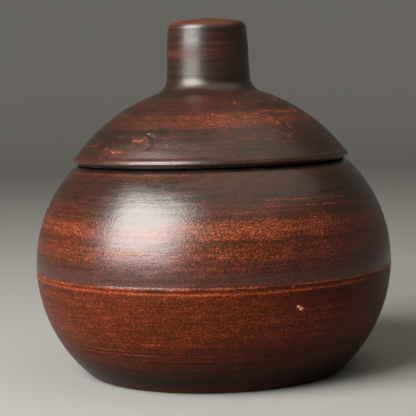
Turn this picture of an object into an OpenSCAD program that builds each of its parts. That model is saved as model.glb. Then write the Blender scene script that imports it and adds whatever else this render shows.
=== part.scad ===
// Lidded round clay pot: a body made of two bowls joined at the belly, and a
// loose domed lid with a locating ring under it and a knob on top.
// Millimetres, +Z up. The origin is the centre of the flat base.

/* [Body] */
// Diameter at the seam where the lower and the upper bowl join
belly_d = 120; // [100:1:144]
// Height of that seam above the table
belly_h = 35.4; // [29:0.2:43]
// Diameter that the lower bowl's curve comes down to at the table
foot_d = 85.4; // [70:0.2:98]
// Height of the rim that the lid rests on
rim_h = 70.4; // [58:0.2:85]
// Radius of the lower bowl's outer curve
bowl_curve_r = 48.4; // [40:0.2:60]
// Radius of the upper bowl's outer curve
shoulder_curve_r = 46.5; // [38:0.1:58]
// Thickness of the wall
wall = 5; // [3:0.1:6.5]
// Thickness of the floor
floor_t = 6; // [4:0.1:9]
// Radius of the rounded edge round the base
foot_round = 2.5; // [1:0.1:4]

/* [Mouth] */
// Inner diameter of the mouth
mouth_d = 77; // [64:0.5:93]
// Width of the flat rim round the mouth
rim_w = 6.9; // [5:0.1:9]
// Height of the straight mouth wall below the rim
mouth_land = 4; // [2:0.1:8]

/* [Lid] */
// How far the lid's sharp edge stands out past the rim
lid_overhang = 0.6; // [-1:0.1:6]
// Height of the lid's edge above the rim
lid_edge_h = 2; // [1:0.1:6]
// How far the lid's seat is set in from its edge
lid_undercut = 2.5; // [0.5:0.1:4]
// Radius of the lid's outer dome, which is part of a sphere
lid_curve_r = 56; // [50:0.1:72]
// Thickness of the lid
lid_wall = 6; // [4:0.1:8]
// Gap all round between the locating ring and the mouth
ring_gap = 1.2; // [0.5:0.1:2.5]
// Thickness of the locating ring
ring_wall = 3.8; // [2.5:0.1:6]
// How far the locating ring reaches into the mouth
ring_depth = 8; // [4:0.1:14]
// Bevel at the locating ring's lower edge
ring_bevel = 1.5; // [0.5:0.1:2.2]

/* [Knob] */
// Diameter of the knob where its foot curve ends
knob_d = 28; // [22:0.2:36]
// Height of the knob above the lid's crown
knob_h = 22.1; // [17:0.2:32]
// How far the knob's side leans in, in degrees
knob_taper = 2.5; // [0:0.1:6]
// Radius of the hollow curve at the knob's foot
knob_foot_r = 5.6; // [2:0.1:9]
// Radius of the rounded edge round the knob's top
knob_edge_r = 3.5; // [1:0.1:6]

/* [Hidden] */
$fn = 180;
past = 1;           // how far a cut runs past the face that it opens

// Centre of the circle of radius r through a, below, and b, above it, on the
// side of the axis.
function arc_centre(a, b, r) =
    let (half = norm(b - a) / 2, along = (b - a) / (2 * half))
    (a + b) / 2 + sqrt(r * r - half * half) * [-along.y, along.x];

// Radius at height h of the circle round centre.
function arc_x(centre, r, h) = centre.x + sqrt(r * r - pow(h - centre.y, 2));

// Centre of a circle of radius r_in at height h that touches the bigger
// circle round centre from inside.
function touching(centre, r, r_in, h) = [arc_x(centre, r - r_in, h), h];

// Point where the circle round centre meets the one round other that touches it.
function touch_point(centre, r, other) = centre + r * (other - centre) / norm(other - centre);

belly_r = belly_d / 2;
mouth_r = mouth_d / 2;
rim_r = mouth_r + rim_w;
reach = belly_d;    // past the outside of every outline

// Lower bowl
bowl_c = arc_centre([foot_d / 2, 0], [belly_r, belly_h], bowl_curve_r);
foot_c = touching(bowl_c, bowl_curve_r, foot_round, foot_round);
foot_touch = touch_point(bowl_c, bowl_curve_r, foot_c);
bowl_in_r = bowl_curve_r - wall;
bowl_in_c = arc_centre([arc_x(bowl_c, bowl_in_r, floor_t), floor_t], [belly_r - wall, belly_h], bowl_in_r);

// Upper bowl
land_h = rim_h - mouth_land;
shoulder_c = arc_centre([belly_r, belly_h], [rim_r, rim_h], shoulder_curve_r);
shoulder_in_r = shoulder_curve_r - wall;
shoulder_in_c = arc_centre([belly_r - wall, belly_h],
                           [arc_x(shoulder_c, shoulder_in_r, land_h), land_h], shoulder_in_r);

// Lid
lid_r = rim_r + lid_overhang;
edge_h = rim_h + lid_edge_h;
lid_c = [0, edge_h - sqrt(pow(lid_curve_r, 2) - pow(lid_r, 2))];
crown_h = lid_c.y + lid_curve_r;
seat_edge = [lid_r - lid_undercut, rim_h];
undercut = [lid_undercut, lid_edge_h];
ring_r = mouth_r - ring_gap;
hollow_r = ring_r - ring_wall;

// Knob. Its foot curve touches both the lid's curve and the knob's side.
top_h = crown_h + knob_h;
foot_x = knob_d / 2 + knob_foot_r / cos(knob_taper);
knob_foot_c = [foot_x, lid_c.y + sqrt(pow(lid_curve_r + knob_foot_r, 2) - pow(foot_x - lid_c.x, 2))];
pad = touch_point(lid_c, lid_curve_r, knob_foot_c);
knob_lean = [cos(knob_taper), sin(knob_taper)];
knob_foot_top = knob_foot_c - knob_foot_r * knob_lean;
knob_edge_h = top_h - knob_edge_r;
knob_edge_c = [knob_d / 2 - (knob_edge_h - knob_foot_c.y) * tan(knob_taper)
               - knob_edge_r / cos(knob_taper), knob_edge_h];
knob_edge_side = knob_edge_c + knob_edge_r * knob_lean;

// The part of a circle that lies between two opposite corners of a box.
module disc_in_box(centre, r, low, high) {
    intersection() {
        translate(centre) circle(r = r);
        translate(low) square(high - low);
    }
}

// Everything between from_x and the outer side of a circle, between two heights.
module inside_arc(centre, r, low_h, high_h, from_x) {
    disc_in_box(centre, r, [centre.x, low_h], [reach, high_h]);
    translate([from_x, low_h]) square([centre.x - from_x, high_h - low_h]);
}

// Bowl from the table to the seam, with a flat base and a flat floor.
module lower_bowl() {
    color([0.36, 0.17, 0.11])
    rotate_extrude()
    difference() {
        union() {
            inside_arc(bowl_c, bowl_curve_r, foot_touch.y, belly_h, 0);
            disc_in_box(foot_c, foot_round, [foot_c.x, -past], [reach, foot_touch.y]);
            square([foot_c.x, foot_touch.y]);
        }
        inside_arc(bowl_in_c, bowl_in_r, floor_t, belly_h + past, -past);
    }
}

// Bowl turned over onto the lower one, from the seam to the rim and mouth.
module upper_bowl() {
    color([0.27, 0.13, 0.09])
    rotate_extrude()
    difference() {
        inside_arc(shoulder_c, shoulder_curve_r, belly_h, rim_h, 0);
        inside_arc(shoulder_in_c, shoulder_in_r, belly_h - past, land_h, -past);
        translate([-past, land_h - past]) square([mouth_r + past, mouth_land + 2 * past]);
    }
}

// Domed lid with an undercut edge, cut flat at the top where the knob stands.
module lid_dome() {
    color([0.24, 0.13, 0.09])
    rotate_extrude()
    difference() {
        intersection() {
            translate(lid_c) circle(r = lid_curve_r);
            polygon([[0, rim_h], seat_edge, seat_edge + 3 * undercut, [reach, pad.y], [0, pad.y]]);
        }
        disc_in_box(lid_c, lid_curve_r - lid_wall, [-past, rim_h - past], [hollow_r, pad.y]);
    }
}

// Ring under the lid that drops into the mouth and centres the lid.
module lid_ring() {
    color([0.45, 0.22, 0.14])
    rotate_extrude()
    polygon([
        [hollow_r, rim_h - ring_depth],
        [ring_r - ring_bevel, rim_h - ring_depth],
        [ring_r, rim_h - ring_depth + ring_bevel],
        [ring_r, rim_h],
        [hollow_r, rim_h]
    ]);
}

// Solid knob with a hollow curve at its foot and a rounded top edge.
module knob() {
    color([0.20, 0.12, 0.10])
    rotate_extrude()
    union() {
        difference() {
            polygon([
                [0, pad.y], pad, knob_foot_c, knob_foot_top,
                knob_edge_side, knob_edge_c, [knob_edge_c.x, top_h], [0, top_h]
            ]);
            translate(knob_foot_c) circle(r = knob_foot_r);
        }
        intersection() {
            translate(knob_edge_c) circle(r = knob_edge_r);
            polygon([knob_edge_c, knob_edge_c + 2 * knob_edge_r * knob_lean,
                     knob_edge_c + [2 * knob_edge_r, 2 * knob_edge_r], knob_edge_c + [0, 2 * knob_edge_r]]);
        }
    }
}

lower_bowl();
upper_bowl();
lid_dome();
lid_ring();
knob();
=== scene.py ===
import math

import bpy
import numpy as np
from mathutils import Matrix, Vector


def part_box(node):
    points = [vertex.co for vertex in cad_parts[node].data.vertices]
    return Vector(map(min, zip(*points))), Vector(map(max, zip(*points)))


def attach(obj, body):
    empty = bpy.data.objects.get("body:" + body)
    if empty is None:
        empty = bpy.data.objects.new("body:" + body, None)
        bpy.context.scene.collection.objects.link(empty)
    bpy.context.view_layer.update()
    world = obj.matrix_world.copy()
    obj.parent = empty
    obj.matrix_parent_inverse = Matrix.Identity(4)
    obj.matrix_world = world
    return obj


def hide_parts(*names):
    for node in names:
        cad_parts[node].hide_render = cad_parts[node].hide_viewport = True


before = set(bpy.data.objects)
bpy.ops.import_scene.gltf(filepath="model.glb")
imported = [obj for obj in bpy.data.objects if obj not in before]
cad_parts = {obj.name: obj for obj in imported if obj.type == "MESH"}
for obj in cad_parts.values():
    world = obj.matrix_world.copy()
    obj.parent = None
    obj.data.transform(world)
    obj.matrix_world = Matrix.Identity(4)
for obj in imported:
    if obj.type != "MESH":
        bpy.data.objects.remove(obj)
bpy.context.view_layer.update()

# A lidded round pot of smoke-darkened, burnished red clay. Each CAD node is
# replaced by a lathed mesh that follows the same outline, with the ridges,
# rounded edges, wobble and scars that a hand-made pot has.
# Lengths are millimetres and turn into Blender's metres in one place, MM.
MM = 0.001


# ---------------------------------------------------------------- dimensions

def reach(node):
    """Largest radius, lowest and highest point of a CAD node, in millimetres."""
    low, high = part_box(node)
    return high[0] / MM, low[2] / MM, high[2] / MM


BELLY_R, _, BELLY_H = reach("lower_bowl")
_, _, RIM_H = reach("upper_bowl")
LID_R, _, PAD_H = reach("lid_dome")
RING_R, RING_LOW, _ = reach("lid_ring")
PAD_R, _, TOP_H = reach("knob")

# Sizes that a node's box doesn't show, as the CAD model has them.
WALL = 5.0
FLOOR = 6.0
FOOT_R = 42.7
FOOT_ROUND = 2.5
BOWL_CURVE = 48.4
SHOULDER_CURVE = 46.5
RIM_R = 45.4
MOUTH_R = 38.5
MOUTH_LAND = 4.0
LID_EDGE = 2.0
LID_UNDERCUT = 2.5
LID_CURVE = 56.0
LID_WALL = 6.0
RING_WALL = 3.8
RING_BEVEL = 1.5
KNOB_R = 14.0
KNOB_LEAN = math.radians(2.5)
KNOB_FOOT = 5.6
KNOB_EDGE = 3.5

# The lid's edge, finer than the CAD model has it: how far in from the edge the
# dome starts to flare, then the top of the lip, its arris and its foot, each
# as a distance out from and up from the CAD model's edge.
LIP_FLARE = 1.1
LIP_TOP = np.array([-0.15, 0.80])
LIP_ARRIS = np.array([0.35, -0.25])
LIP_FOOT = np.array([-0.90, -1.55])

# The base is slightly hollow inside the ring that it stands on, and the knob's
# top rises slightly to its middle.
BASE_HOLLOW = 0.35
STANDING_RING = 4.0
KNOB_CROWN = 0.8

# How far the dark burnished skin runs in over the rim and under the lid's edge. It is painted black there,
# as painted shade in the groove where the lid sits on the rim.
RIM_SHADED_SKIN = 2.6
SEAT_SHADED_SKIN = 2.4

# From ridge to ridge of the spirals that fingers leave inside.
BOWL_RIDGES = 5.6
LID_RIDGES = 6.5

EDGE_H = RIM_H + LID_EDGE
LAND_H = RIM_H - MOUTH_LAND
HOLLOW_R = RING_R - RING_WALL
LID_CENTRE_H = EDGE_H - math.sqrt(LID_CURVE ** 2 - LID_R ** 2)

# Nearer to the axis than this is on it, and nearer to each other than this is
# the same point.
ON_AXIS = 1e-6
SAME_POINT = 1e-4

# Edges sharper than this stay sharp when the mesh is shaded.
SHARP_EDGE = math.radians(50)


# ------------------------------------------------------------------ outlines

class Run:
    """A stretch of an outline: its points, the way out at each, and its finish."""

    def __init__(self, points, outward, finish):
        self.points = np.array(points, float)
        self.outward = np.array(outward, float)
        self.finish = finish


def line(start, end, step, finish):
    """A straight run with points step apart. Its outward side is on the right."""
    start, end = np.array(start, float), np.array(end, float)
    along = end - start
    length = np.linalg.norm(along)
    t = np.linspace(0, 1, max(2, int(math.ceil(length / step)) + 1))[:, None]
    out = np.array([along[1], -along[0]]) / length
    return Run(start + t * along, np.tile(out, (len(t), 1)), finish)


def arc(centre, start, end, step, finish, hollow=False):
    """A circular run round centre. A hollow one has its outside at the centre."""
    centre, start, end = (np.array(p, float) for p in (centre, start, end))
    radius = np.linalg.norm(start - centre)
    a = math.atan2(*(start - centre)[::-1])
    b = math.atan2(*(end - centre)[::-1])
    turn = (b - a + math.pi) % (2 * math.pi) - math.pi
    t = a + np.linspace(0, turn, max(3, int(math.ceil(abs(turn) * radius / step)) + 1))
    spoke = np.stack([np.cos(t), np.sin(t)], axis=1)
    return Run(centre + radius * spoke, -spoke if hollow else spoke, finish)


def arc_centre(a, b, radius):
    """Centre, on the axis side, of the circle of that radius through a and b above it."""
    a, b = np.array(a, float), np.array(b, float)
    half = np.linalg.norm(b - a) / 2
    along = (b - a) / (2 * half)
    return (a + b) / 2 + math.sqrt(radius ** 2 - half ** 2) * np.array([-along[1], along[0]])


def arc_x(centre, radius, height):
    """Distance from the axis of a circle's outer side at a height."""
    return centre[0] + math.sqrt(radius ** 2 - (height - centre[1]) ** 2)


def trim(run, length, at_end):
    """Cuts a length off one end of a run, and gives the place of the cut."""
    points = run.points[::-1] if at_end else run.points
    outward = run.outward[::-1] if at_end else run.outward
    walked = np.concatenate([[0], np.cumsum(np.linalg.norm(np.diff(points, axis=0), axis=1))])
    length = min(length, 0.45 * walked[-1])
    cut = [np.interp(length, walked, points[:, i]) for i in (0, 1)]
    out = [np.interp(length, walked, outward[:, i]) for i in (0, 1)]
    keep = walked > length + 1e-6
    points = np.vstack([cut, points[keep]])
    outward = np.vstack([out, outward[keep]])
    if at_end:
        points, outward = points[::-1], outward[::-1]
    return Run(points, outward, run.finish)


def rounded(runs, roundings, steps=5):
    """Joins runs end to end, with the corner after run i rounded over roundings[i]."""
    runs = list(runs)
    bridges = {}
    for i, size in roundings.items():
        corner = runs[i].points[-1]
        runs[i] = trim(runs[i], size, at_end=True)
        runs[i + 1] = trim(runs[i + 1], size, at_end=False)
        a, b = runs[i].points[-1], runs[i + 1].points[0]
        t = np.linspace(0, 1, steps + 2)[1:-1, None]
        curve = (1 - t) ** 2 * a + 2 * t * (1 - t) * corner + t ** 2 * b
        out = (1 - t) * runs[i].outward[-1] + t * runs[i + 1].outward[0]
        bridges[i] = Run(curve, out / np.linalg.norm(out, axis=1)[:, None], runs[i].finish)
    points, outward, finish = [], [], []
    for i, run in enumerate(runs):
        stretch = [run, bridges[i]] if i in bridges else [run]
        for part in stretch:
            met = bool(points) and np.allclose(points[-1], part.points[0], atol=SAME_POINT)
            first = 1 if met else 0
            points += list(part.points[first:])
            outward += list(part.outward[first:])
            finish += [part.finish] * (len(part.points) - first)
    return np.array(points), np.array(outward), finish


# ------------------------------------------------- what a hand leaves in clay

def waves(theta, height, seed, count, around, length):
    """A smooth random ripple between about -1 and 1 that closes round the pot.

    around is the most waves round the pot, and length the range of their
    height from crest to crest.
    """
    rng = np.random.default_rng(seed)
    total = np.zeros(np.broadcast(theta, height).shape)
    for _ in range(count):
        turns = rng.integers(0, around + 1)
        rate = 2 * math.pi / rng.uniform(*length) * rng.choice([-1, 1])
        total += np.cos(turns * theta + rate * height + rng.uniform(0, 2 * math.pi))
    return total / math.sqrt(count)


def bump(x, middle, width):
    """1 at the middle, falling smoothly to 0."""
    return np.exp(-((x - middle) / width) ** 2)


def fade(x, low, high):
    """0 below low, 1 above high, and smooth between."""
    t = np.clip((x - low) / (high - low), 0, 1)
    return t * t * (3 - 2 * t)


# The double line round the belly: two fine ridges with a rough band between.
SEAM_TOP = BELLY_H + 0.1
SEAM_LOW = BELLY_H - 1.7

# Lines cut round the pot while it turned: height and depth.
POT_GROOVES = [
    (62.0, 0.01), (60.2, 0.015), (58.2, 0.015),
    (14.6, 0.10), (13.2, 0.08), (7.4, 0.06),
]


def apart(theta, degrees):
    """Angle between theta and a place that many degrees right of the front."""
    return (theta - math.radians(degrees - 90) + math.pi) % (2 * math.pi) - math.pi


def seam_low(theta):
    """Height of the lower of the two lines round the belly, which wanders up in places."""
    low = SEAM_LOW + 0.55 * bump(apart(theta, -65), 0, 0.8)
    low += 0.90 * bump(apart(theta, 85), 0, 0.6)
    return low + 0.4 * bump(apart(theta, 160), 0, 0.7)


def pot_skin(theta, height):
    """How far the outside of the bowls stands proud of the true curve."""
    d = 0.10 * waves(theta, height, 11, 5, 3, (70, 160))
    d += 0.003 * waves(theta, height, 12, 12, 1, (2.4, 6.5))
    d += 0.007 * waves(theta, height, 13, 60, 26, (4, 12))
    d += 0.15 * bump(height, SEAM_TOP, 0.42)
    d += 0.12 * bump(height, seam_low(theta), 0.40)
    d -= 0.08 * bump(height, (SEAM_TOP + SEAM_LOW) / 2, 0.55)
    for at, depth in POT_GROOVES:
        wander = at + 0.12 * waves(theta, 0 * height, int(at * 10), 4, 3, (40, 80))
        d -= depth * bump(height, wander, 0.30)
    quiet = fade(height, 0.4, 3.0) * (1 - fade(height, RIM_H - 1.6, RIM_H - 0.5))
    return d * quiet


# Scars in the lid: a path of (degrees from the front, height), then its half
# width, depth and how much it changes the wear.
LID_SCARS = [
    ([(-30.2, 81.2), (-27.2, 80.2), (-26.4, 78.4), (-27.2, 77.0)], 0.45, 0.36, -0.40),
    ([(-31.2, 80.4), (-29.6, 79.2), (-29.0, 78.2)], 0.50, 0.06, 0.36),
    ([(-37.0, 79.1), (-35.4, 79.6), (-34.0, 79.2), (-32.4, 79.5)], 0.62, 0.05, 0.84),
    ([(-36.9, 77.0), (-35.8, 77.0)], 0.40, 0.05, 0.80),
    ([(-47.0, 76.2), (-42.0, 75.8), (-39.6, 75.9)], 0.50, 0.03, 0.44),
    ([(27.0, 87.1), (33.1, 85.7), (37.2, 83.6), (40.8, 81.8)], 0.36, 0.07, 0.22),
    ([(33.4, 86.4), (41.8, 84.7), (45.7, 83.0), (49.0, 81.3)], 0.36, 0.07, 0.18),
    ([(41.4, 83.2), (42.9, 82.0)], 0.60, 0.30, -0.50),
    ([(35.4, 80.3), (36.8, 79.2), (40.2, 80.3)], 0.44, 0.10, 0.62),
    ([(48.6, 82.2), (50.0, 80.7), (47.0, 79.5)], 0.40, 0.08, 0.16),
    ([(12.0, 79.7), (20.0, 79.3)], 0.36, 0.03, 0.44),
    ([(15.0, 75.0), (40.0, 75.5)], 0.30, 0.02, 0.26),
    ([(150.0, 86.0), (155.0, 84.0), (158.0, 81.0)], 0.36, 0.12, 0.30),
    ([(-121.0, 79.0), (-117.0, 79.6), (-115.0, 78.6)], 0.45, 0.16, 0.36),
    ([(95.0, 76.0), (99.0, 76.8)], 0.40, 0.14, 0.36),
]

# Chips in the bowls, as the lid's scars.
POT_SCARS = [
    ([(23.3, 35.0), (23.5, 35.0)], 0.45, 0.10, 2.20),
    ([(25.1, 28.9), (26.2, 27.6)], 0.36, 0.10, 1.90),
    ([(26.2, 28.6), (27.1, 27.9)], 0.30, 0.08, 1.30),
    ([(44.9, 61.0), (45.1, 61.0)], 0.40, 0.04, 0.60),
    ([(6.2, 22.4), (6.5, 22.5)], 0.40, 0.04, 0.50),
    ([(-150.0, 47.0), (-146.0, 45.5)], 0.40, 0.12, 0.36),
    ([(118.0, 24.0), (121.0, 25.5)], 0.45, 0.12, 0.36),
]


# How far out the scars are, and how far a millimetre of height runs down the
# slope there.
LID_SCAR_R = 39
LID_SCAR_SLOPE = 1.35
POT_SCAR_R = 59
POT_SCAR_SLOPE = 1.0


def scar(theta, height, path, half, radius, slope):
    """1 on a path over the surface and 0 away from it."""
    nearest = np.full(np.broadcast(theta, height).shape, 1e9)
    middle = path[0][0]
    u, v = apart(theta, middle) * radius, height * slope
    places = [(math.radians(degrees - middle) * radius, at * slope) for degrees, at in path]
    for (au, av), (bu, bv) in zip(places, places[1:]):
        t = ((u - au) * (bu - au) + (v - av) * (bv - av)) / ((bu - au) ** 2 + (bv - av) ** 2)
        t = np.clip(t, 0, 1)
        nearest = np.minimum(nearest, np.hypot(u - au - t * (bu - au), v - av - t * (bv - av)))
    return bump(nearest, 0, half)


def scars(theta, height, listed, radius, slope):
    """Each listed scar's shape, with its depth and how much it changes the wear."""
    return [
        (scar(theta, height, path, half, radius, slope), depth, change)
        for path, half, depth, change in listed
    ]


def lid_scars(theta, height):
    return scars(theta, height, LID_SCARS, LID_SCAR_R, LID_SCAR_SLOPE)


def pot_scars(theta, height):
    return scars(theta, height, POT_SCARS, POT_SCAR_R, POT_SCAR_SLOPE)


def lid_skin(theta, height):
    """How far the outside of the lid's dome stands proud of the true curve."""
    d = 0.08 * waves(theta, height, 21, 5, 3, (60, 140))
    d += 0.008 * waves(theta, height, 22, 12, 1, (2.0, 5.0))
    d += 0.010 * waves(theta, height, 23, 50, 24, (3, 9))
    for shape, depth, _ in lid_scars(theta, height):
        d -= depth * shape
    quiet = fade(height, EDGE_H + 0.2, EDGE_H + 1.4) * (1 - fade(height, PAD_H - 2.0, PAD_H))
    return d * quiet


def lid_edge_skin(theta, height):
    """The small dents along the lid's edge."""
    return 0.05 * waves(theta, height * 0, 24, 30, 40, (50, 90))


def knob_skin(theta, height):
    """How far the knob's side stands proud of the true shape."""
    d = 0.08 * waves(theta, height, 31, 5, 3, (40, 90))
    d += 0.002 * waves(theta, height, 32, 10, 1, (2.5, 6.0))
    d += 0.004 * waves(theta, height, 33, 24, 8, (4, 9))
    d += 0.15 * bump(height, 109.0, 3.5)
    return d * fade(height, PAD_H, PAD_H + 2.5)


def finger_ridges(theta, height):
    """The spiral that fingers leave inside a thrown bowl."""
    turn = 2 * math.pi * height / BOWL_RIDGES + theta
    ridges = 0.22 * (0.5 + 0.5 * np.cos(turn)) + 0.06 * waves(theta, height, 41, 10, 6, (6, 20))
    quiet = fade(np.abs(height - BELLY_H), 0, 2.0) * (1 - fade(height, LAND_H - 3, LAND_H - 1))
    return -ridges * quiet


def lid_fingers(theta, height):
    """The same spiral under the lid's crown."""
    rise = height - LID_CENTRE_H
    radius = np.sqrt(np.maximum(0, (LID_CURVE - LID_WALL) ** 2 - rise ** 2))
    turn = 2 * math.pi * radius / LID_RIDGES + theta
    quiet = fade(radius, 0, 5) * (1 - fade(radius, HOLLOW_R - 3, HOLLOW_R - 1))
    return -0.18 * (0.5 + 0.5 * np.cos(turn)) * quiet


def smooth(theta, height):
    """No relief at all, for faces that meet other pieces."""
    return np.zeros(np.broadcast(theta, height).shape)


# How far the dark skin is worn, by height: 0 is black and 1 is bare red clay. The stops from 69.6 to 71.2
# are painted shade under the lid's edge rather than worn skin.
WEAR_AND_SHADE = [
    # The lower bowl.
    (0.0, 0.42), (1.2, 0.44), (2.4, 0.24), (4.0, 0.08), (6.0, 0.18), (8.0, 0.27),
    (10.0, 0.36), (13.0, 0.44), (16.0, 0.53), (18.5, 0.61), (32.5, 0.61), (35.4, 0.46),
    # The upper bowl.
    (37.5, 0.38), (41.0, 0.44), (43.0, 0.54), (46.0, 0.68), (48.5, 0.53), (50.0, 0.62),
    (52.4, 0.74), (54.5, 0.66), (56.5, 0.45), (60.0, 0.38), (62.0, 0.24), (66.0, 0.22),
    # Painted shade: the stops at 69.6 and 70.2 blacken the rim's top in the groove under the lid's edge.
    (68.0, 0.30), (68.9, 0.28), (69.6, 0.06), (70.2, 0.0),
    # The lid. Its stops at 70.8 and 71.2 are painted shade: black on the seat in the groove and dark on
    # the edge's down-facing face.
    (70.8, 0.02), (71.2, 0.16), (72.0, 0.30), (72.4, 0.36), (73.2, 0.30), (76.0, 0.26),
    (82.0, 0.26), (84.5, 0.50), (86.5, 0.50), (88.5, 0.32), (91.0, 0.38), (93.5, 0.22),
    # The knob.
    (98.0, 0.19), (105.0, 0.19), (106.6, 0.30), (108.5, 0.22), (113.5, 0.17), (115.4, 0.24),
    (116.4, 0.50), (117.2, 0.72), (117.9, 0.70), (118.15, 0.40), (118.5, 0.26),
]

# How much of it flakes, by height.
FLAKED = [
    (0, 0.0), (6, 0.2), (36, 0.25), (44, 0.5), (66, 0.4),
    (70, 0.3), (74, 1.0), (90, 1.0), (96, 0.3), (118, 0.3),
]

# Broad patches worn more or less: angle from the front, height, half sizes, change.
PATCHES = [
    # The lower bowl.
    (34, 31.5, 16, 2.6, -0.12), (-20, 20.0, 26, 4.0, 0.05), (170, 22.0, 40, 6.0, 0.10),
    (-100, 14.0, 30, 4.0, -0.14), (72, 24.0, 26, 14.0, -0.16), (110, 28.0, 26, 6.0, -0.10),
    (-40, 11.5, 16, 1.4, 0.14),
    # The upper bowl.
    (27, 50.0, 4, 8.0, -0.14), (44, 51.0, 8, 7.0, -0.08), (18, 53.0, 40, 3.2, 0.14),
    (-52, 52.2, 12, 2.0, 0.10), (36, 46.5, 16, 4.0, 0.06), (-26, 55.0, 17, 5.0, -0.20),
    (-62, 51.0, 24, 6.0, -0.10), (150, 50.0, 45, 6.0, 0.16), (-120, 56.0, 32, 4.0, 0.12),
    (85, 60.0, 24, 5.0, -0.12), (52, 53.5, 15, 5.5, -0.16), (78, 51.0, 16, 6.0, -0.08),
    (58, 41.0, 20, 5.0, -0.08),
    # The lid.
    (14, 84.6, 36, 2.6, 0.18), (-52, 87.0, 26, 5.0, -0.12), (-46, 76.0, 13, 1.1, 0.22),
    (22, 79.5, 14, 1.6, 0.10), (-60, 79.0, 24, 3.5, -0.14), (-68, 86.0, 20, 6.0, -0.14),
    (45, 76.0, 26, 2.5, -0.10), (160, 84.0, 50, 3.0, 0.20), (-110, 80.0, 30, 3.0, 0.14),
    (100, 77.0, 22, 2.0, 0.14),
    # The knob.
    (-60, 106.5, 34, 0.9, 0.12), (120, 103.0, 60, 3.0, 0.10),
]

# Fine worn lines, with painted shade where the strength is negative: height, half width, angle from the
# front, half length, strength, and how far the line sinks per radian to the right.
WEAR_AND_SHADE_LINES = [
    (SEAM_TOP, 0.46, 0, 400, 0.56, 0),
    (61.7, 0.20, -34, 16, 0.36, 0), (60.6, 0.24, 34, 20, 0.55, 1.6), (58.8, 0.24, 34, 22, 0.55, 1.6),
    (57.4, 0.18, 18, 14, 0.22, 0), (61.0, 0.20, 130, 50, 0.30, 0), (59.2, 0.20, -130, 40, 0.34, 0),
    # Painted shade: the three lines of negative strength here darken the lines cut near the foot.
    (14.6, 0.28, -40, 24, -0.26, 0), (13.2, 0.26, -32, 22, -0.22, 0), (11.7, 0.26, -10, 30, -0.18, 0),
    (15.2, 0.30, -40, 22, 0.42, 0), (13.9, 0.26, -30, 18, 0.40, 0), (12.4, 0.22, -5, 26, 0.30, 0),
    (15.0, 0.30, 150, 40, 0.30, 0), (40.4, 0.22, 18, 22, 0.18, 0), (79.4, 0.24, 13, 6, 0.40, 0),
    (78.2, 0.16, -20, 26, 0.20, 0), (76.8, 0.18, 30, 22, 0.20, 0), (106.9, 0.35, -60, 40, 0.20, 0),
    (102.9, 0.25, -10, 50, 0.12, 0), (109.6, 0.30, 60, 60, 0.12, 0), (69.0, 0.32, -32, 36, 0.34, 0),
]


def flakes(theta, height, seed, size, cut):
    """Scattered flakes, size wide and tall: 1 where a smooth random value passes the cut."""
    rng = np.random.default_rng(seed)
    around = int(2 * math.pi * LID_R / size[0])
    grid = rng.random((int(TOP_H / size[1]) + 2, around))
    u, v = theta / (2 * math.pi) * around, height / size[1]
    i, j = np.floor(v).astype(int), np.floor(u).astype(int) % around
    up, along = fade(v - np.floor(v), 0, 1), fade(u - np.floor(u), 0, 1)
    here = grid[i, j] * (1 - along) + grid[i, (j + 1) % around] * along
    above = grid[i + 1, j] * (1 - along) + grid[i + 1, (j + 1) % around] * along
    return fade(here * (1 - up) + above * up, cut, cut + 0.12)


def wear_and_shade_line(theta, height, i):
    """How much line number i wears the skin at a point; a line of negative strength paints shade instead.
    """
    at, half, degrees, length, strength, sink = WEAR_AND_SHADE_LINES[i]
    middle = at + 0.10 * waves(theta, 0 * height, 60 + i, 4, 3, (40, 80))
    middle -= sink * apart(theta, degrees)
    breaks = fade(waves(theta, 0 * height, 90 + i, 16, 40, (40, 80)), -1.0, 0.4)
    side = bump(apart(theta, degrees), 0, math.radians(length))
    return strength * bump(height, middle, half) * side * (0.35 + 0.65 * breaks)


def skin_wear_and_shade(theta, height):
    """How worn the skin is at a point, with painted shade under the lid's edge and in the lines cut near
    the foot.
    """
    level = np.interp(height, *zip(*WEAR_AND_SHADE)) + 0 * theta
    for degrees, at, half_angle, half_height, change in PATCHES:
        side = bump(apart(theta, degrees), 0, math.radians(half_angle))
        level += change * side * bump(height, at, half_height)
    level += 0.035 * waves(theta, height, 51, 14, 5, (12, 40))
    level += 0.030 * waves(theta, height, 52, 16, 2, (1.5, 4.5))
    for i in range(len(WEAR_AND_SHADE_LINES)):
        level += wear_and_shade_line(theta, height, i)
    level += 0.40 * bump(height, seam_low(theta), 0.42)
    flaked = np.interp(height, *zip(*FLAKED))
    level += 0.80 * flaked * flakes(theta, height, 71, (1.5, 0.5), 0.89)
    level += 0.26 * flaked * flakes(theta, height, 72, (11, 0.6), 0.84)
    on_lid = np.max(height) > EDGE_H
    found = lid_scars(theta, height) if on_lid else pot_scars(theta, height)
    ragged = 0.35 + 0.65 * fade(waves(theta, height, 73, 40, 90, (1.2, 4.0)), -0.7, 0.7)
    for shape, _, change in found:
        level += change * shape * ragged
    return level


# A finish is the relief of a stretch, and its material's slot.
FINISHES = {
    "pot": (pot_skin, 0),
    "lid": (lid_skin, 0),
    "lid_edge": (lid_edge_skin, 0),
    "knob": (knob_skin, 0),
    "skin": (smooth, 0),
    "thrown": (finger_ridges, 1),
    "fingers": (lid_fingers, 1),
    "bare": (smooth, 1),
}


# -------------------------------------------------------------------- meshes

def slot_between(finish, a, b):
    """The material slot of the strip of faces from ring a to ring b."""
    return FINISHES[finish[max(a, b)]][1]


def map_rows(points, finish, pairs):
    """Where each strip starts and ends on the map, from 0 to 1. Bare clay gets less of it."""
    lengths = []
    for a, b in pairs:
        share = 1.0 if slot_between(finish, a, b) == 0 else 0.4
        lengths.append(share * np.linalg.norm(points[b] - points[a]))
    ends = np.cumsum(lengths) / sum(lengths)
    return list(zip([0, *ends[:-1]], ends))


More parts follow.
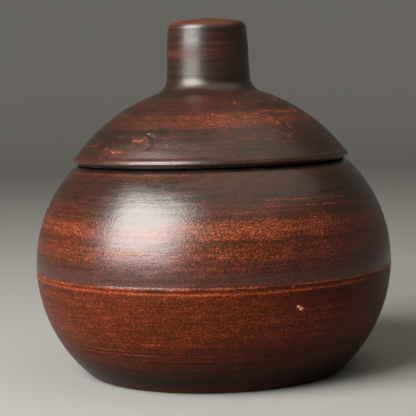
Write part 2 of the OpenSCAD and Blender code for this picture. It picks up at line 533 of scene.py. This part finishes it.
def turned(points, outward, finish, columns):
    """Each point turned round Z with its stretch's relief, in metres, and how worn it is, painted shade
    included.
    """
    theta = math.pi / 2 + np.arange(columns)[None, :] * 2 * math.pi / columns
    rise = np.zeros((len(points), columns))
    for kind in set(finish):
        chosen = np.array([other == kind for other in finish])
        rise[chosen] = FINISHES[kind][0](theta, points[chosen, 1:])
    radius = points[:, :1] + rise * outward[:, :1]
    height = points[:, 1:] + rise * outward[:, 1:]
    places = np.stack([radius * np.cos(theta), radius * np.sin(theta), height], axis=2) * MM
    return places, skin_wear_and_shade(theta, points[:, 1:])


def strip(low, high, v_low, v_high, columns):
    """The faces between two rings of vertices, and their corners on the map."""
    faces, corners = [], []
    for i in range(columns):
        j = (i + 1) % columns
        left, middle, right = i / columns, (i + 0.5) / columns, (i + 1) / columns
        if len(low) == 1:
            faces.append((low[0], high[j], high[i]))
            corners += [middle, v_low, right, v_high, left, v_high]
        elif len(high) == 1:
            faces.append((low[i], low[j], high[0]))
            corners += [left, v_low, right, v_low, middle, v_high]
        else:
            faces.append((low[i], low[j], high[j], high[i]))
            corners += [left, v_low, right, v_low, right, v_high, left, v_high]
    return faces, corners


def lathe(name, outline, columns, materials):
    """Turns an outline round Z, with one vertex where a ring is on the axis."""
    points, outward, finish = outline
    closed = points[0][0] > ON_AXIS
    if closed and np.allclose(points[0], points[-1], atol=SAME_POINT):
        points, outward, finish = points[:-1], outward[:-1], finish[:-1]
    places, worn = turned(points, outward, finish, columns)
    rings, vertices, wear_and_shade = [], [], []
    for i, (r, z) in enumerate(points):
        on_axis = r < ON_AXIS
        first = len(vertices)
        vertices += [(0.0, 0.0, z * MM)] if on_axis else places[i].tolist()
        wear_and_shade += [worn[i].mean()] if on_axis else worn[i].tolist()
        rings.append(range(first, len(vertices)))
    pairs = list(zip(range(len(rings) - 1), range(1, len(rings))))
    if closed:
        pairs.append((len(rings) - 1, 0))
    faces, slots, corners = [], [], []
    for (a, b), (v_low, v_high) in zip(pairs, map_rows(points, finish, pairs)):
        if len(rings[a]) == len(rings[b]) == 1:
            continue
        strip_faces, strip_corners = strip(rings[a], rings[b], v_low, v_high, columns)
        faces += strip_faces
        corners += strip_corners
        slots += [slot_between(finish, a, b)] * len(strip_faces)
    mesh = bpy.data.meshes.new(name)
    mesh.from_pydata(vertices, [], faces)
    mesh.uv_layers.new(name="OFBake").uv.foreach_set("vector", corners)
    for material in materials:
        mesh.materials.append(material)
    mesh.polygons.foreach_set("material_index", slots)
    mesh.polygons.foreach_set("use_smooth", [True] * len(faces))
    mesh.set_sharp_from_angle(angle=SHARP_EDGE)
    shades = mesh.attributes.new("wear_and_shade", "FLOAT", "POINT")
    shades.data.foreach_set("value", np.array(wear_and_shade, dtype=np.float32))
    mesh.update()
    piece = bpy.data.objects.new(name, mesh)
    bpy.context.scene.collection.objects.link(piece)
    return piece


# The outlines go up the outside and come back down the inside, so that the
# outward side is on the right all the way.

def lower_bowl_outline():
    centre = arc_centre((FOOT_R, 0), (BELLY_R, BELLY_H), BOWL_CURVE)
    foot = np.array([arc_x(centre, BOWL_CURVE - FOOT_ROUND, FOOT_ROUND), FOOT_ROUND])
    touch = centre + BOWL_CURVE * (foot - centre) / np.linalg.norm(foot - centre)
    ring_r = foot[0] - STANDING_RING
    inner = BOWL_CURVE - WALL
    floor_r = arc_x(centre, inner, FLOOR)
    inner_centre = arc_centre((floor_r, FLOOR), (BELLY_R - WALL, BELLY_H), inner)
    return rounded([
        line((0, BASE_HOLLOW), (ring_r, 0.0), 2.0, "bare"),
        line((ring_r, 0.0), (foot[0], 0.0), 1.0, "bare"),
        arc(foot, (foot[0], 0), touch, 0.15, "skin"),
        arc(centre, touch, (BELLY_R, BELLY_H), 0.30, "pot"),
        line((BELLY_R, BELLY_H), (BELLY_R - WALL, BELLY_H), 2.5, "bare"),
        arc(inner_centre, (BELLY_R - WALL, BELLY_H), (floor_r, FLOOR), 1.0, "thrown", hollow=True),
        line((floor_r, FLOOR), (0, FLOOR), 2.0, "bare"),
    ], {5: 5.0})


def upper_bowl_outline():
    centre = arc_centre((BELLY_R, BELLY_H), (RIM_R, RIM_H), SHOULDER_CURVE)
    inner = SHOULDER_CURVE - WALL
    lip_r = arc_x(centre, inner, LAND_H)
    inner_centre = arc_centre((BELLY_R - WALL, BELLY_H), (lip_r, LAND_H), inner)
    return rounded([
        arc(centre, (BELLY_R, BELLY_H), (RIM_R, RIM_H), 0.30, "pot"),
        # The rim's outer top is dark skin painted black: painted shade under the lid's edge.
        line((RIM_R, RIM_H), (RIM_R - RIM_SHADED_SKIN, RIM_H), 0.5, "skin"),
        line((RIM_R - RIM_SHADED_SKIN, RIM_H), (MOUTH_R, RIM_H), 0.8, "bare"),
        line((MOUTH_R, RIM_H), (MOUTH_R, LAND_H), 0.8, "bare"),
        line((MOUTH_R, LAND_H), (lip_r, LAND_H), 0.8, "bare"),
        arc(inner_centre, (lip_r, LAND_H), (BELLY_R - WALL, BELLY_H), 1.0, "thrown", hollow=True),
        line((BELLY_R - WALL, BELLY_H), (BELLY_R, BELLY_H), 2.5, "bare"),
    ], {0: 1.9, 2: 0.7, 3: 1.2, 4: 2.5})


def lid_dome_outline():
    """From the lid ring's inside, out round the edge, up over the dome and back inside."""
    centre = np.array([0, LID_CENTRE_H])
    inner = LID_CURVE - LID_WALL
    hollow_h = LID_CENTRE_H + math.sqrt(inner ** 2 - HOLLOW_R ** 2)
    seat_r = LID_R - LID_UNDERCUT
    bare_r = seat_r - SEAT_SHADED_SKIN
    edge = np.array([LID_R, EDGE_H])
    flare_r = LID_R - LIP_FLARE
    flare = (flare_r, LID_CENTRE_H + math.sqrt(LID_CURVE ** 2 - flare_r ** 2))
    outside = rounded([
        line((HOLLOW_R, RIM_H), (bare_r, RIM_H), 0.8, "bare"),
        # The seat's outer part is dark skin painted black: painted shade in the groove on the rim.
        line((bare_r, RIM_H), (seat_r, RIM_H), 0.4, "skin"),
        line((seat_r, RIM_H), edge + LIP_FOOT, 0.25, "skin"),
        line(edge + LIP_FOOT, edge + LIP_ARRIS, 0.2, "lid_edge"),
        line(edge + LIP_ARRIS, edge + LIP_TOP, 0.2, "lid"),
        line(edge + LIP_TOP, flare, 0.25, "lid"),
        arc(centre, flare, (PAD_R, PAD_H), 0.28, "lid"),
        line((PAD_R, PAD_H), (0, PAD_H), 3.0, "bare"),
    ], {1: 0.5, 2: 0.3, 3: 0.45, 4: 0.45, 5: 0.7})
    inside = rounded([
        arc(centre, (0, LID_CENTRE_H + inner), (HOLLOW_R, hollow_h), 1.5, "fingers", hollow=True),
        line((HOLLOW_R, hollow_h), (HOLLOW_R, RIM_H), 1.0, "bare"),
    ], {0: 1.5})
    points = np.vstack([outside[0], inside[0]])
    outward = np.vstack([outside[1], inside[1]])
    return points, outward, outside[2] + inside[2]


def lid_ring_outline():
    return rounded([
        line((HOLLOW_R, RING_LOW), (RING_R - RING_BEVEL, RING_LOW), 0.6, "bare"),
        line((RING_R - RING_BEVEL, RING_LOW), (RING_R, RING_LOW + RING_BEVEL), 0.4, "bare"),
        line((RING_R, RING_LOW + RING_BEVEL), (RING_R, RIM_H), 0.6, "bare"),
        line((RING_R, RIM_H), (HOLLOW_R, RIM_H), 1.3, "bare"),
        line((HOLLOW_R, RIM_H), (HOLLOW_R, RING_LOW), 0.6, "bare"),
    ], {0: 0.6, 1: 0.6})


def knob_outline():
    foot_r = KNOB_R + KNOB_FOOT / math.cos(KNOB_LEAN)
    foot = np.array([foot_r, LID_CENTRE_H + math.sqrt((LID_CURVE + KNOB_FOOT) ** 2 - foot_r ** 2)])
    out = np.array([math.cos(KNOB_LEAN), math.sin(KNOB_LEAN)])
    edge_h = TOP_H - KNOB_EDGE
    edge_r = KNOB_R - (edge_h - foot[1]) * math.tan(KNOB_LEAN) - KNOB_EDGE / out[0]
    edge = np.array([edge_r, edge_h])
    crown_h = TOP_H - KNOB_CROWN
    corner = edge - (0, KNOB_CROWN)
    return rounded([
        line((0, PAD_H), (PAD_R, PAD_H), 3.0, "bare"),
        arc(foot, (PAD_R, PAD_H), foot - KNOB_FOOT * out, 0.25, "knob", hollow=True),
        line(foot - KNOB_FOOT * out, edge + KNOB_EDGE * out, 0.30, "knob"),
        arc(corner, corner + KNOB_EDGE * out, (edge_r, crown_h), 0.2, "skin"),
        line((edge_r, crown_h), (0, TOP_H), 0.8, "skin"),
    ], {2: 0.5, 3: 5.0})


# ------------------------------------------------------------------ materials

class Nodes:
    """Short names for the shader nodes that the materials are made of."""

    def __init__(self, name):
        self.material = bpy.data.materials.new(name)
        self.material.use_nodes = True
        self.tree = self.material.node_tree
        self.shader = self.tree.nodes["Principled BSDF"]

    def put(self, value, socket):
        """Links a socket to socket, or sets its value."""
        if isinstance(value, bpy.types.NodeSocket):
            self.tree.links.new(value, socket)
        else:
            socket.default_value = value

    def math(self, operation, *values):
        node = self.tree.nodes.new("ShaderNodeMath")
        node.operation = operation
        for value, socket in zip(values, node.inputs):
            self.put(value, socket)
        return node.outputs[0]

    def add(self, *values):
        total = values[0]
        for value in values[1:]:
            total = self.math("ADD", total, value)
        return total

    def times(self, a, b):
        return self.math("MULTIPLY", a, b)

    def swing(self, value, size):
        """A noise's swing about its middle, times size."""
        return self.times(self.math("SUBTRACT", value, 0.5), size)

    def step(self, value, low, high):
        """0 below low and 1 above high, smooth between."""
        node = self.tree.nodes.new("ShaderNodeMapRange")
        node.interpolation_type = "SMOOTHSTEP"
        for given, socket in zip((value, low, high, 0.0, 1.0), node.inputs):
            self.put(given, socket)
        return node.outputs[0]

    def place(self):
        """Where a point is on the pot, in millimetres."""
        coordinates = self.tree.nodes.new("ShaderNodeTexCoord")
        return self.scaled(coordinates.outputs["Object"], (1 / MM,) * 3)

    def scaled(self, vector, scale):
        node = self.tree.nodes.new("ShaderNodeVectorMath")
        node.operation = "MULTIPLY"
        self.put(vector, node.inputs[0])
        node.inputs[1].default_value = scale
        return node.outputs[0]

    def attribute(self, name):
        """A number that the mesh carries at each of its points."""
        node = self.tree.nodes.new("ShaderNodeAttribute")
        node.attribute_name = name
        return node.outputs["Fac"]

    def ramp(self, value, stops):
        """The colour at value along stops of (place, colour)."""
        last = stops[-1][0]
        node = self.tree.nodes.new("ShaderNodeValToRGB")
        self.put(self.times(value, 1 / last), node.inputs[0])
        elements = node.color_ramp.elements
        while len(elements) < len(stops):
            elements.new(0.5)
        for element, (at, colour) in zip(elements, stops):
            element.position = at / last
            element.color = (*colour, 1)
        return node.outputs[0]

    def noise(self, place, grain, detail=2.0, rough=0.5, shift=0.0):
        """Noise whose features are about grain millimetres across, round and up."""
        node = self.tree.nodes.new("ShaderNodeTexNoise")
        around, up = grain
        moved = self.tree.nodes.new("ShaderNodeVectorMath")
        moved.operation = "ADD"
        self.put(self.scaled(place, (1 / around, 1 / around, 1 / up)), moved.inputs[0])
        moved.inputs[1].default_value = (shift, shift * 0.7, shift * 1.3)
        self.put(moved.outputs[0], node.inputs["Vector"])
        node.inputs["Scale"].default_value = 1.0
        node.inputs["Detail"].default_value = detail
        node.inputs["Roughness"].default_value = rough
        return node.outputs[0]

    def mix(self, factor, a, b):
        node = self.tree.nodes.new("ShaderNodeMix")
        node.data_type = "RGBA"
        self.put(factor, node.inputs[0])
        self.put(a, node.inputs[6])
        self.put(b, node.inputs[7])
        return node.outputs[2]

    def relief(self, height, strength, distance):
        node = self.tree.nodes.new("ShaderNodeBump")
        node.inputs["Strength"].default_value = strength
        node.inputs["Distance"].default_value = distance
        self.put(height, node.inputs["Height"])
        return node.outputs[0]


# The skin's colour from black to bare clay.
SKIN = [
    (0.00, (0.008, 0.0045, 0.0030)), (0.17, (0.018, 0.0070, 0.0036)),
    (0.46, (0.050, 0.0105, 0.0040)), (0.67, (0.085, 0.0150, 0.0048)),
    (0.83, (0.150, 0.0265, 0.0080)), (1.00, (0.240, 0.0480, 0.0160)),
    (1.22, (0.290, 0.0660, 0.0250)), (1.45, (0.460, 0.2000, 0.1200)),
    (1.80, (0.620, 0.5200, 0.4400)),
]


def burnished_clay(name, rough, shine, speckled, threaded, grainy):
    """Dark burnished skin, worn through to red clay in streaks and speckles.

    speckled and threaded are how far its specks and its fine streaks swing the
    wear, and grainy is how deep its grain is.
    """
    n = Nodes(name)
    place = n.place()
    streaks = n.noise(place, (30, 1.0), detail=3, rough=0.55)
    threads = n.noise(place, (7, 0.40), detail=2, rough=0.5, shift=4)
    mottle = n.noise(place, (4.5, 3.0), detail=2, rough=0.5, shift=7)
    grain = n.noise(place, (0.60, 0.40), detail=1, rough=0.5, shift=9)
    # This attribute also holds painted shade: the black groove under the lid's edge and the dark lines cut
    # near the foot.
    worn = n.attribute("wear_and_shade")
    speckle = n.times(n.swing(grain, speckled), n.step(worn, -0.1, 0.8))
    level = n.add(worn, n.swing(streaks, 0.26), n.swing(threads, threaded), n.swing(mottle, 0.30), speckle)
    n.put(n.ramp(level, SKIN), n.shader.inputs["Base Color"])
    gloss = n.add(rough, n.swing(streaks, 0.16), n.times(level, 0.10))
    n.put(gloss, n.shader.inputs["Roughness"])
    surface = n.add(n.times(grain, 0.8), n.times(threads, 0.6), n.times(mottle, 1.2))
    n.put(n.relief(surface, grainy, 0.00012), n.shader.inputs["Normal"])
    n.shader.inputs["IOR"].default_value = 1.58
    n.shader.inputs["Specular IOR Level"].default_value = shine
    return n.material


def bare_clay():
    """Unburnished red clay, as inside the pot, on the seats and under the base."""
    n = Nodes("bare_clay")
    place = n.place()
    rings = n.noise(place, (40, 0.9), detail=3, rough=0.6)
    grain = n.noise(place, (0.5, 0.5), detail=3, rough=0.7, shift=5)
    smoke = n.noise(place, (22, 14), detail=3, rough=0.55, shift=8)
    clay = n.mix(n.step(n.add(n.swing(rings, 1.0), n.swing(grain, 1.0)), -0.2, 0.2),
                 (0.20, 0.058, 0.028, 1), (0.31, 0.105, 0.052, 1))
    sooted = n.times(n.step(smoke, 0.45, 0.72), 0.7)
    n.put(n.mix(sooted, clay, (0.060, 0.026, 0.017, 1)), n.shader.inputs["Base Color"])
    n.put(n.add(0.78, n.swing(grain, 0.25)), n.shader.inputs["Roughness"])
    n.put(n.relief(n.add(n.times(rings, 0.5), grain), 0.5, 0.00015), n.shader.inputs["Normal"])
    n.shader.inputs["IOR"].default_value = 1.45
    return n.material


# --------------------------------------------------------------------- pieces

bare = bare_clay()
burnished = burnished_clay("burnished_clay", 0.25, 0.5, speckled=1.85, threaded=0.50, grainy=0.5)
scuffed = burnished_clay("scuffed_clay", 0.33, 0.5, speckled=1.50, threaded=0.44, grainy=0.5)
handled = burnished_clay("handled_clay", 0.335, 0.5, speckled=1.0, threaded=0.26, grainy=0.2)
rubbed = burnished_clay("rubbed_clay", 0.32, 0.06, speckled=1.30, threaded=0.46, grainy=0.5)


def stand_for(node, body, outline, columns, skin):
    """Turns a piece and puts it in a CAD node's place. Where it isn't burnished it is bare."""
    piece = lathe(node + "_fired", outline, columns, (skin, bare))
    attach(piece, body)
    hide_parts(node)


stand_for("lower_bowl", "pot", lower_bowl_outline(), 400, rubbed)
stand_for("upper_bowl", "pot", upper_bowl_outline(), 400, burnished)
stand_for("lid_dome", "lid", lid_dome_outline(), 440, scuffed)
stand_for("lid_ring", "lid", lid_ring_outline(), 240, burnished)
stand_for("knob", "lid", knob_outline(), 240, handled)


# ---------------------------------------------------------------------- stage

def sweep():
    """A round, pale floor that curves up into a low wall all round, in metres."""
    flat, curve, wall = 1.1, 0.55, 1.3
    steps, columns = 12, 96
    profile = [(0.0, 0.0), (0.3, 0.0), (0.7, 0.0)]
    for i in range(steps + 1):
        a = math.pi / 2 * i / steps
        profile.append((flat + curve * math.sin(a), curve * (1 - math.cos(a))))
    profile.append((flat + curve, wall))
    vertices, faces = [(0, 0, 0)], []
    for r, z in profile[1:]:
        for i in range(columns):
            a = 2 * math.pi * i / columns
            vertices.append((r * math.cos(a), r * math.sin(a), z))
    for i in range(columns):
        faces.append((0, 1 + i, 1 + (i + 1) % columns))
    for k in range(len(profile) - 2):
        first = 1 + k * columns
        for i in range(columns):
            j = (i + 1) % columns
            faces.append((first + i, first + columns + i, first + columns + j, first + j))
    mesh = bpy.data.meshes.new("floor")
    mesh.from_pydata(vertices, [], faces)
    mesh.polygons.foreach_set("use_smooth", [True] * len(faces))
    floor = bpy.data.objects.new("floor", mesh)
    bpy.context.scene.collection.objects.link(floor)
    paper = Nodes("paper")
    paper.shader.inputs["Base Color"].default_value = (0.30, 0.295, 0.28, 1)
    paper.shader.inputs["Roughness"].default_value = 0.9
    mesh.materials.append(paper.material)


# What the lights are aimed at, in metres.
POT_MIDDLE = Vector((0, 0, 0.055))


def softbox(name, azimuth, elevation, distance, size, watts, colour):
    """A soft area light aimed at the pot. Azimuth is from the front, to the right."""
    data = bpy.data.lights.new(name, "AREA")
    data.shape = "RECTANGLE"
    data.size, data.size_y = size
    data.energy = watts
    data.color = colour
    light = bpy.data.objects.new(name, data)
    a, e = math.radians(azimuth), math.radians(elevation)
    away = Vector((math.sin(a) * math.cos(e), -math.cos(a) * math.cos(e), math.sin(e)))
    light.location = POT_MIDDLE + distance * away
    light.rotation_euler = away.to_track_quat("Z", "Y").to_euler()
    bpy.context.scene.collection.objects.link(light)


def studio():
    scene = bpy.context.scene
    scene.view_settings.view_transform = "Standard"
    world = bpy.data.worlds.new("room")
    scene.world = world
    world.use_nodes = True
    air = world.node_tree.nodes["Background"]
    air.inputs["Color"].default_value = (1.0, 0.94, 0.72, 1)
    air.inputs["Strength"].default_value = 0.14
    softbox("overhead", 62, 66, 0.85, (0.95, 0.75), 1.7, (1.0, 0.95, 0.80))
    softbox("key", -49.5, 32.5, 0.80, (0.64, 0.62), 18, (1.0, 0.985, 0.955))


# The camera's place, in millimetres, and how far it turns: up, right and clockwise.
CAMERA_PLACE = Vector((0, -479, 97.9))
CAMERA_PITCH = math.radians(-5.17)
CAMERA_YAW = math.radians(-0.17)
CAMERA_ROLL = math.radians(-1.70)


def camera():
    """The camera that the photograph was taken with, as near as its view shows."""
    data = bpy.data.cameras.new("camera")
    data.sensor_width = 36.0
    data.lens = 122.6
    data.clip_start, data.clip_end = 0.01, 10
    cam = bpy.data.objects.new("camera", data)
    forward = math.cos(CAMERA_PITCH)
    ahead = Vector((
        math.sin(CAMERA_YAW) * forward,
        math.cos(CAMERA_YAW) * forward,
        math.sin(CAMERA_PITCH),
    ))
    right = ahead.cross(Vector((0, 0, 1))).normalized()
    up = right.cross(ahead)
    level = math.cos(CAMERA_ROLL) * right + math.sin(CAMERA_ROLL) * up
    upright = -math.sin(CAMERA_ROLL) * right + math.cos(CAMERA_ROLL) * up
    turned = Matrix((level, upright, -ahead)).transposed().to_4x4()
    cam.matrix_world = Matrix.Translation(CAMERA_PLACE * MM) @ turned
    bpy.context.scene.collection.objects.link(cam)
    bpy.context.scene.camera = cam


sweep()
studio()
camera()
